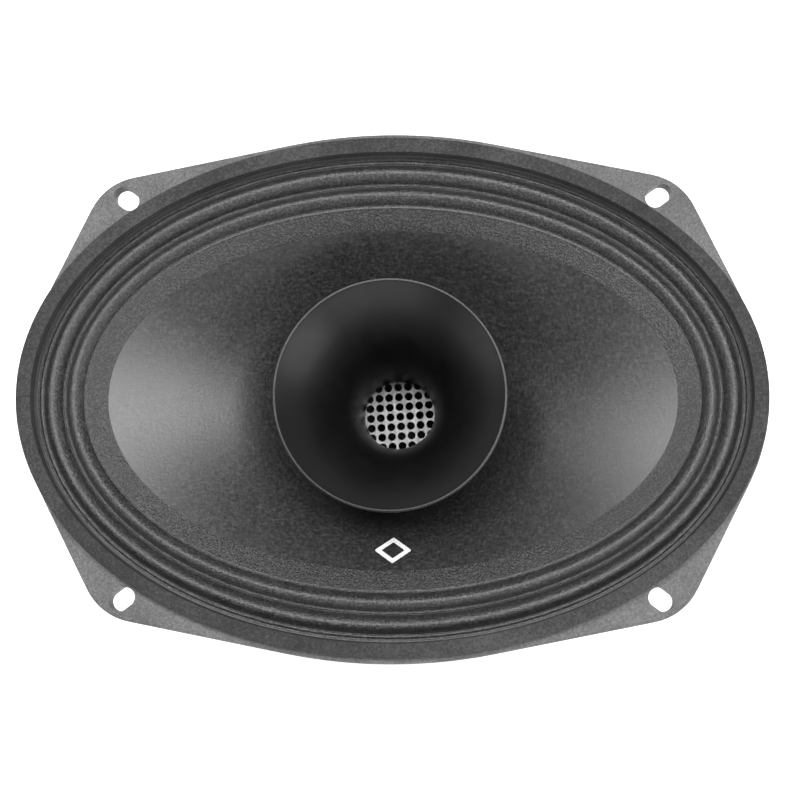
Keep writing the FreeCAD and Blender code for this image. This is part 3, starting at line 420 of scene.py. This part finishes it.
def insulation(name, colour):
    finish = Finish(name, colour, 0.4)
    dark = tuple(channel * 0.7 for channel in colour)
    finish.colours(finish.noise(4), (0.35, dark), (0.7, colour))
    finish.rough(finish.noise(1.5), 0.34, 0.5)
    return finish.bump(finish.noise(1.2, 3), 0.03)


def wire_red():
    return insulation("wire_red", (0.42, 0.02, 0.018))


def wire_black():
    return insulation("wire_black", grey(0.02))


def copper_braid():
    finish = Finish("copper_braid", (0.72, 0.38, 0.2), 0.35, metallic=1.0)
    plait = finish.maths("MAXIMUM", finish.threads(0.45, "DIAGONAL"), finish.threads(0.5, "Y"))
    finish.colours(plait, (0.1, (0.22, 0.09, 0.04)), (0.6, (0.66, 0.34, 0.18)), (0.95, (0.85, 0.5, 0.3)))
    finish.rough(finish.noise(0.8), 0.28, 0.5)
    return finish.bump(plait, 0.12)


def coil_former():
    finish = Finish("coil_former", (0.42, 0.22, 0.05), 0.3)
    finish.colours(finish.noise(6), (0.35, (0.33, 0.16, 0.035)), (0.7, (0.48, 0.27, 0.07)))
    finish.rough(finish.noise(2), 0.24, 0.4)
    return finish.bump(finish.noise(2, 3), 0.03)


def coil_winding():
    finish = Finish("coil_winding", (0.65, 0.3, 0.14), 0.3, metallic=1.0)
    turns = finish.threads(0.22, "Z")
    finish.colours(turns, (0.1, (0.26, 0.09, 0.03)), (0.7, (0.68, 0.33, 0.16)))
    finish.rough(finish.noise(1), 0.24, 0.4)
    return finish.bump(turns, 0.08)


def titanium():
    finish = Finish("titanium", grey(0.52, 0.03), 0.3, metallic=1.0)
    finish.colours(finish.noise(4), (0.3, grey(0.46, 0.05)), (0.7, grey(0.58, 0.02)))
    finish.rough(finish.noise(0.8), 0.24, 0.4)
    return finish.bump(finish.noise(1.5, 3), 0.02)


def mark_ink():
    finish = Finish("mark_ink", grey(0.8), 0.6)
    finish.colours(finish.noise(0.6, 4), (0.3, grey(0.74)), (0.6, grey(0.86)))
    finish.rough(finish.noise(1), 0.5, 0.7)
    return finish.bump(finish.noise(0.6, 4), 0.04)


def floor_paint():
    finish = Finish("floor_paint", grey(0.86), 0.9, Emission_Color=(1, 1, 1, 1), Emission_Strength=0.6)
    finish.colours(finish.noise(300, 2), (0.3, grey(0.84)), (0.7, grey(0.88)))
    finish.rough(finish.noise(90, 2), 0.85, 0.95)
    return finish.bump(finish.noise(5, 3), 0.05)


FINISHES = {
    make.__name__: make
    for make in (
        powder_coat, gasket_board, cone_paper, surround_cloth, spider_cloth, horn_plastic, screen_metal,
        plated_steel, black_steel, ferrite, boot_rubber, foam, board_fibre, terminal_brass, capacitor_sleeve,
        wire_red, wire_black, copper_braid, coil_former, coil_winding, titanium, driver_plastic,
    )
}
made = {name: make().material for name, make in FINISHES.items()}


def paint(piece, material):
    piece.data.materials.clear()
    piece.data.materials.append(material)
    return piece


def dress(piece, slot, *nodes, material=None):
    """Gives a new piece the finish of a slot of the record and lets it stand for CAD nodes."""
    paint(piece, material or made[slot])
    if nodes:
        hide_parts(*nodes)
    return piece


def dress_nodes():
    """Every CAD node gets its slot's finish."""
    for part in frame["record"]["subparts"]:
        node = frame["nodes"][part["node"]]
        paint(node, made[part["material_slot"]])


# The camera, the light and the floor

CAMERA_PLACE = (24, -50, 354.5)
CAMERA_TILT = (2.3, 1.1)
CAMERA_LENS = 50.6
CAMERA_SHIFT = (-0.0575, 0.1395)


def camera():
    lens = bpy.data.cameras.new("camera")
    lens.lens = CAMERA_LENS
    lens.sensor_width = 36
    lens.shift_x, lens.shift_y = CAMERA_SHIFT
    lens.clip_start, lens.clip_end = 0.01, 20
    view = bpy.data.objects.new("camera", lens)
    view.location = Vector(CAMERA_PLACE) * MM
    view.rotation_euler = [math.radians(angle) for angle in (*CAMERA_TILT, 0)]
    bpy.context.scene.collection.objects.link(view)
    bpy.context.scene.camera = view


def lamp(name, place, size, power):
    """A soft light that faces the speaker."""
    light = bpy.data.lights.new(name, "AREA")
    light.shape = "RECTANGLE"
    light.size, light.size_y = (side * MM for side in size)
    light.energy = power
    piece = bpy.data.objects.new(name, light)
    piece.location = Vector(place) * MM
    piece.rotation_euler = (-Vector(place)).to_track_quat("-Z", "Y").to_euler()
    bpy.context.scene.collection.objects.link(piece)


def surroundings():
    """A dim room with pale walls: bright towards the horizon, darker overhead."""
    world = bpy.data.worlds.new("studio")
    world.use_nodes = True
    tree = world.node_tree
    direction = tree.nodes.new("ShaderNodeTexCoord").outputs["Generated"]
    apart = tree.nodes.new("ShaderNodeSeparateXYZ")
    shade = tree.nodes.new("ShaderNodeMapRange")
    shade.interpolation_type = "SMOOTHSTEP"
    tree.links.new(direction, apart.inputs["Vector"])
    tree.links.new(apart.outputs["Z"], shade.inputs["Value"])
    for socket, value in (("From Min", 0.05), ("From Max", 0.4), ("To Min", 0.8), ("To Max", 0.13)):
        shade.inputs[socket].default_value = value
    tree.links.new(shade.outputs["Result"], tree.nodes["Background"].inputs["Strength"])
    tree.nodes["Background"].inputs["Color"].default_value = (*grey(1.0), 1)
    return world


def studio():
    bpy.context.scene.world = surroundings()
    bpy.context.scene.view_settings.view_transform = "Standard"
    lamp("overhead_light", (60, 240, 950), (1240, 460), 15)
    lamp("right_card", (720, -330, 330), (600, 500), 2.4)
    lamp("left_card", (-740, -260, 330), (500, 400), 0.9)
    lamp("front_card", (60, -820, 420), (1000, 400), 2.2)


def floor():
    low = box("driver_cover")[0]
    reach = 12000
    piece = banded("floor", [[(-reach, y, low.z), (reach, y, low.z)] for y in (-reach, reach)], False, False)
    paint(piece, floor_paint().material)


# The gasket

GASKET_GAP_SHARE = 0.3  # of the CAD halves' gap, so that the ends nearly touch


def gaskets():
    """Two halves of soft board with rounded edges that meet at the ends of the oval."""
    low, high = box("gasket_upper")
    half_length, half_width = high.x, high.y
    wall, outer_round, inner_round = 4.7, 0.7, 0.3
    corners = [(0, low.z, 0), (0, high.z, outer_round), (wall, high.z, inner_round), (wall, low.z, 0)]
    profile = rounded(corners, closed=False, steps=5)
    gap = low.y / half_width * GASKET_GAP_SHARE
    for name, side in (("gasket_upper", 0.0), ("gasket_lower", math.pi)):
        rings = []
        for inset, height in profile:
            size = (half_length - inset, half_width - inset, height)
            rings.append(oval(*size, count=220, start=side + gap, end=side + math.pi - gap))
        piece = banded(name + "_strip", rings, closed=True, round_way=False)
        close_ends(piece)
        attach(dress(piece, "gasket_board", name), "frame")


def close_ends(piece):
    """Fills the open ends of a strip."""
    work = bmesh.new()
    work.from_mesh(piece.data)
    bmesh.ops.holes_fill(work, edges=[edge for edge in work.edges if edge.is_boundary])
    bmesh.ops.recalc_face_normals(work, faces=work.faces)
    work.to_mesh(piece.data)
    work.free()
    piece.data.set_sharp_from_angle(angle=math.radians(50))


# The cone and the surround

CONE_SECTIONS = ((97.6, 61.7, 1.5), (61.0, 43.5, -11.8), (26.8, 26.8, -29.0))
CONE_THICKNESS = 0.85
CONE_STEPS = 72
CONE_FIT = 0.05  # between the neck and the former


def cone_section(t):
    """The half length, half width and height of the cone's back at t, from 0 at the rim to 1 at the neck."""
    rim, waist, neck = CONE_SECTIONS
    weights = ((1 - t) * (1 - 2 * t), 4 * t * (1 - t), t * (2 * t - 1))
    return tuple(sum(w * part[i] for w, part in zip(weights, (rim, waist, neck))) for i in range(3))


def on_cone(across, up, lift):
    """The point of the cone's front above (across, up), raised by lift. It may lie a little past the rim."""
    past_rim, neck, halvings = -0.2, 1.0, 40
    low, high = past_rim, neck
    for _ in range(halvings):
        t = (low + high) / 2
        half_length, half_width, height = cone_section(t)
        outside = (across / half_length) ** 2 + (up / half_width) ** 2 > 1
        low, high = (low, t) if outside else (t, high)
    return (across, up, height + CONE_THICKNESS + lift)


def cone():
    """The paper shell, from its rim down to the neck that the former is glued in."""
    steps = [i / CONE_STEPS for i in range(CONE_STEPS + 1)]
    front = [oval(a, b, height + CONE_THICKNESS) for a, b, height in map(cone_section, steps)]
    back = [oval(*cone_section(t)) for t in reversed(steps)]
    bore = box("voice_coil_former")[1].x + CONE_FIT
    neck = CONE_SECTIONS[2][2]
    inside = [oval(bore, bore, neck + CONE_THICKNESS), oval(bore, bore, neck)]
    piece = banded("paper_cone", front + inside + back)
    piece.data.set_sharp_from_angle(angle=math.radians(60))
    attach(dress(piece, "cone_paper", "cone"), "cone_assembly")


def hump(inset, start, end, height):
    """A roll between two insets, as a parabola."""
    share = (inset - start) / (end - start)
    if not 0 < share < 1:
        return 0.0
    return height * 4 * share * (1 - share)


ROLLS = ((2.1, 8.2, 3.1), (9.2, 15.0, 3.1))
RIDGES = ((0.7, 2.0, 0.4), (8.25, 9.15, 0.35))
LIP_HEIGHT = 0.6
SURROUND_START = 0.05
SURROUND_END = 15.9
SURROUND_STEPS = 150
CLOTH_THICKNESS = 0.55
CLOTH_SINK = 0.15  # how far the inner edge is pressed below the cone's rim


def surround_height(inset):
    """The height of the surround's face above the seat: two rolls with a low ridge before each."""
    return LIP_HEIGHT + sum(hump(inset, *roll) for roll in (*ROLLS, *RIDGES))


def surround():
    """The two-roll cloth ring between the basket and the cone, down to where it meets the cone's rim."""
    low, high = box("surround")
    half_length, half_width, seat = high.x, high.y, low.z
    last = ROLLS[1][1]
    rim = CONE_SECTIONS[0][2] + CONE_THICKNESS - CLOTH_SINK
    face = []
    for i in range(SURROUND_STEPS + 1):
        inset = SURROUND_START + (SURROUND_END - SURROUND_START) * i / SURROUND_STEPS
        joined = max(0, inset - last)
        face.append((inset, seat + surround_height(inset) + (rim - seat - LIP_HEIGHT) * joined))
    back = [(inset, height - CLOTH_THICKNESS) for inset, height in reversed(face)]
    rings = [oval(half_length - inset, half_width - inset, height) for inset, height in face + back]
    piece = banded("cloth_surround", rings)
    dress(piece, "surround_cloth", "surround")
    bend = (half_length, half_width, ROLLS[0][0], last)
    stretch(piece, lambda x, y: radial_share(x, y, *bend))


def radial_share(across, up, half_length, half_width, start, end):
    """How far a point is from inset start, 0, to inset end, 1, of an oval."""
    low, high, halvings = 0.0, half_width, 30
    for _ in range(halvings):
        inset = (low + high) / 2
        outside = (across / (half_length - inset)) ** 2 + (up / (half_width - inset)) ** 2 > 1
        low, high = (low, inset) if outside else (inset, high)
    return (inset - start) / (end - start)


def stretch(piece, share):
    """Bakes the piece's transform and works out how far in each point lies between the frame and a moving
    body, but moves no point.
    """
    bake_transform(piece)
    for vertex in piece.data.vertices:
        t = min(1, max(0, share(vertex.co.x / MM, vertex.co.y / MM)))


def glued_band():
    """The flat inner edge of the surround, which lies on the front of the cone."""
    low, high = box("surround")
    start, end, count = 14.9, 21.9, 16
    lift, sink = 0.16, -0.1
    insets = [start + (end - start) * i / count for i in range(count + 1)]

    def face(inset, height):
        return [on_cone(x, y, height) for x, y, _ in oval(high.x - inset, high.y - inset, 0)]

    top = [face(inset, lift) for inset in insets]
    under = [face(inset, sink) for inset in reversed(insets)]
    piece = banded("surround_band", top + under)
    piece.data.set_sharp_from_angle(angle=math.radians(50))
    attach(dress(piece, "surround_cloth", material=surround_band().material), "cone_assembly")


def cone_mark():
    """A plain printed lozenge below the horn."""
    centre_up, half_length, half_width = -47.9, 6.0, 4.2
    inner_share, corner_round, ink_height = 0.62, 0.5, 0.05
    rings = []
    for share in (1.0, inner_share):
        corners = [(half_length, 0), (0, half_width), (-half_length, 0), (0, -half_width)]
        outline = rounded([(x * share, y * share, corner_round * share) for x, y in corners])
        rings.append([on_cone(p.x, centre_up + p.y, ink_height) for p in outline])
    piece = banded("cone_mark", rings, closed=False)
    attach(dress(piece, "cone_paper", material=mark_ink().material), "cone_assembly")


# The suspensions of the voice coil and of the driver's diaphragm

FLEX_WIDTH = 1.45  # how much of the driver's suspension bends, next to its coil former


def spider():
    """The corrugated cloth ring that holds the voice coil, flat where it is glued at both edges."""
    low, high = box("spider")
    fit, inner_lip, outer_lip = 0.03, 2, 4.5
    inner = box("voice_coil_former")[1].x + fit
    outer = high.x
    start, end, waves = inner + inner_lip, outer - outer_lip, 7
    centre = (low.z + high.z) / 2
    amplitude, thickness, steps = 1.05, 0.5, 168
    face = []
    for i in range(steps + 1):
        radius = inner + (outer - inner) * i / steps
        share = min(1, max(0, (radius - start) / (end - start)))
        face.append((radius, centre - amplitude * math.sin(TAU * waves * share)))
    top = [(radius, height + thickness / 2) for radius, height in face]
    under = [(radius, height - thickness / 2) for radius, height in reversed(face)]
    piece = lathe("corrugated_spider", top + under)
    dress(piece, "spider_cloth", "spider")
    stretch(piece, lambda x, y: (end - math.hypot(x, y)) / (end - start))


def driver_suspension():
    """The thin ring with one half roll that holds the driver's diaphragm."""
    low, high = box("diaphragm_suspension")
    inner = box("driver_coil_former")[1].x
    inner_lip, roll_width, thickness, steps = 1.15, 2.8, 0.15, 32
    roll_start = inner + inner_lip
    depth = high.z - low.z - thickness
    face = [(inner, high.z)]
    for i in range(steps + 1):
        share = i / steps
        face.append((roll_start + roll_width * share, high.z - depth * math.sin(math.pi * share)))
    face.append((high.x, high.z))
    under = [(radius, height - thickness) for radius, height in reversed(face)]
    piece = lathe("driver_suspension", face + under)
    dress(piece, "coil_former", "diaphragm_suspension")
    held = inner + FLEX_WIDTH
    stretch(piece, lambda x, y: (held - math.hypot(x, y)) / (held - inner))


# Wires


def curve(points, diameter=0.0):
    """A smooth line through a route's bends, as thick as its diameter."""
    line = bpy.data.curves.new("line", "CURVE")
    line.dimensions = "3D"
    line.bevel_depth = diameter * MM / 2
    line.bevel_resolution = 5
    line.use_fill_caps = True
    line.resolution_u = 16
    spline = line.splines.new("NURBS")
    spline.points.add(len(points) - 1)
    for point, place in zip(spline.points, points):
        point.co = (*(Vector(place) * MM), 1)
    spline.order_u = 3
    spline.use_endpoint_u = True
    return line


def solid_line(name, points, diameter):
    """A mesh along a route."""
    guide = bpy.data.objects.new("guide", curve(points, diameter))
    mesh = bpy.data.meshes.new_from_object(guide)
    bpy.data.objects.remove(guide)
    mesh.name = name
    return shown(name, mesh)


LEAD_ROUTE = (
    (7, 25.2, -31.5),
    (7.3, 34, -30.8),
    (8, 44, -26.4),
    (8.8, 53, -26),
    (9.4, 60.2, -30),
    (9.5, 66.6, -32),
)
BLADE_ROUTE = (
    (11, 72.15, -38.5),
    (11, 72.3, -49.5),
    (11.6, 67, -59),
    (13.2, 64.2, -68.5),
    (15.4, 61.8, -79),
)
LEAD_DIAMETER = 1.4
WIRE_DIAMETER = 1.8


def mirrored(route):
    return [(-across, up, height) for across, up, height in route]


def leads():
    """The braided leads from the cone's neck to the terminal board."""
    for name, route in (("positive", list(LEAD_ROUTE)), ("negative", mirrored(LEAD_ROUTE))):
        piece = solid_line(f"braided_lead_{name}", route, LEAD_DIAMETER)
        dress(piece, "copper_braid", f"lead_{name}")
        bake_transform(piece)


def hookup_wires():
    """The wires from the blades to the capacitor and to the driver's tabs."""
    can = middle("crossover_capacitor")
    can_end = box("crossover_capacitor")[1].x
    half_tab, tab_end, tab_across = 0.3, 41.1, 6
    tabs = box("driver_terminals")[0].z + half_tab
    to_can = [(17, 55, -86.5), (18, can.y, can.z), (can_end, can.y, can.z)]
    to_tab = [(-12, 56, -88.8), (-3, 52.5, -94), (tab_across, 50, tabs), (tab_across, tab_end, tabs)]
    from_can = [
        (-can_end, can.y, can.z),
        (-16.5, can.y, can.z),
        (-15.5, 46.5, -93.5),
        (-tab_across, 49, tabs),
        (-tab_across, tab_end, tabs),
    ]
    routes = (
        ("hookup_wire_positive", "wire_red", [*BLADE_ROUTE, *to_can]),
        ("hookup_wire_negative", "wire_black", [*mirrored(BLADE_ROUTE), *to_tab]),
        ("capacitor_lead", "wire_red", from_can),
    )
    for name, slot, route in routes:
        piece = solid_line(name + "_run", route, WIRE_DIAMETER)
        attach(dress(piece, slot, name), "frame")


# The horn, the motor and the driver


def horn():
    """The flare, the lip round its mouth, its back and the foot that the screen sits in."""
    low, high = box("horn")
    throat_radius, mouth_radius, base_radius, seat_radius = 12.5, 35.5, 23.0, 14.7
    wall, opening, lip_swell, steps = 2.0, 3.0, 0.1, 72
    seat_top, base_top = low.z + 0.9, low.z + 4.5
    lip_front, lip_edge, lip_back = high.z - 0.45, high.z - 1.2, high.z - 2.2

    def flare(height):
        share = (height - low.z) / (high.z - low.z)
        return throat_radius + (mouth_radius - throat_radius) * share**opening

    inside = [seat_top + (lip_front - seat_top) * i / steps for i in range(steps + 1)]
    outside = [lip_back - (lip_back - base_top) * i / steps for i in range(steps + 1)]
    lip = rounded(
        [
            (flare(lip_front), lip_front, 0),
            (flare(high.z) + lip_swell, high.z, 0.35),
            (high.x, high.z, 0.5),
            (high.x, lip_edge, 0.3),
            (flare(lip_back) + wall, lip_back, 0),
        ],
        closed=False,
    )
    foot = rounded(
        [
            (flare(base_top) + wall, base_top, 0),
            (base_radius, base_top, 0.5),
            (base_radius, low.z, 0.2),
            (seat_radius, low.z, 0),
            (seat_radius, seat_top, 0),
            (flare(seat_top), seat_top, 0),
        ],
        closed=False,
    )
    profile = [(flare(height), height) for height in inside] + [tuple(p) for p in lip[1:-1]]
    profile += [(flare(height) + wall, height) for height in outside] + [tuple(p) for p in foot[1:-1]]
    piece = lathe("horn_flare", profile, count=256)
    piece.data.set_sharp_from_angle(angle=math.radians(60))
    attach(dress(piece, "horn_plastic", "horn"), "frame")


def magnet_sleeve():
    """The rubber cover round the magnet, with soft edges and two shallow grooves."""
    low, high = box("magnet_boot")
    fit, wall, lip, bevel = 0.2, 2.5, 53.0, 0.9
    magnet, plate = box("magnet")[1].x + fit, box("yoke")[1].x
    magnet_rear, plate_rear = box("magnet")[0].z - fit, box("yoke")[0].z - 0.05
    shoulder = low.z + 5.5
    groove_depth, groove_half = 0.5, 0.6
    outside = [(high.x - bevel, high.z, 0.5), (high.x, high.z - bevel, 0.5)]
    for groove in (high.z - 5.0, shoulder + 3.0):
        outside.append((high.x, groove + groove_half, 0.3))
        outside.append((high.x - groove_depth, groove, 0.4))
        outside.append((high.x, groove - groove_half, 0.3))
    outside += [(high.x, shoulder, 1.2), (plate + wall, low.z, 1.2), (lip, low.z, 0.8)]
    inside = [
        (lip, plate_rear, 0),
        (plate + fit, plate_rear, 0),
        (plate + fit, magnet_rear, 0),
        (magnet, magnet_rear, 0),
        (magnet, high.z, 0.2),
    ]
    piece = lathe("magnet_sleeve", [tuple(p) for p in rounded(outside + inside)], count=256)
    piece.data.set_sharp_from_angle(angle=math.radians(60))
    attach(dress(piece, "boot_rubber", "magnet_boot"), "frame")


def foam_seal():
    """The foam ring between the horn and the voice coil's former."""
    low, high = box("dust_seal")
    inner, rear_round, front_round = 15.4, 0.6, 0.8
    rear = [(inner, low.z, rear_round), (high.x, low.z, rear_round)]
    front = [(high.x, high.z, front_round), (inner, high.z, front_round)]
    piece = lathe("foam_seal", [tuple(p) for p in rounded(rear + front)])
    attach(dress(piece, "foam", "dust_seal"), "frame")


def capacitor():
    """A sleeved can that lies along X, crimped near one end."""
    low, high = box("crossover_capacitor")
    centre, radius = middle("crossover_capacitor"), (high.y - low.y) / 2
    bevel, crimp_depth, crimp_half, sides = 0.6, 0.55, 0.8, 64
    crimp = high.x - 3.4
    across = rounded(
        [
            (0, low.x, 0),
            (radius - 0.5, low.x, 0.2),
            (radius, low.x + bevel, 0.4),
            (radius, crimp - crimp_half, 0.3),
            (radius - crimp_depth, crimp, 0.4),
            (radius, crimp + crimp_half, 0.3),
            (radius, high.x - bevel, 0.5),
            (radius - 0.8, high.x, 0.2),
            (0, high.x, 0),
        ],
        closed=False,
    )
    angles = [TAU * i / sides for i in range(sides)]
    rings = []
    for out, along in across:
        rings.append([(along, centre.y + out * math.cos(a), centre.z + out * math.sin(a)) for a in angles])
    piece = banded("capacitor_can", rings, closed=False)
    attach(dress(piece, "capacitor_sleeve", "crossover_capacitor"), "frame")


camera()
studio()
floor()
dress_nodes()
gaskets()
cone()
surround()
glued_band()
cone_mark()
spider()
driver_suspension()
leads()
hookup_wires()
horn()
magnet_sleeve()
foam_seal()
capacitor()
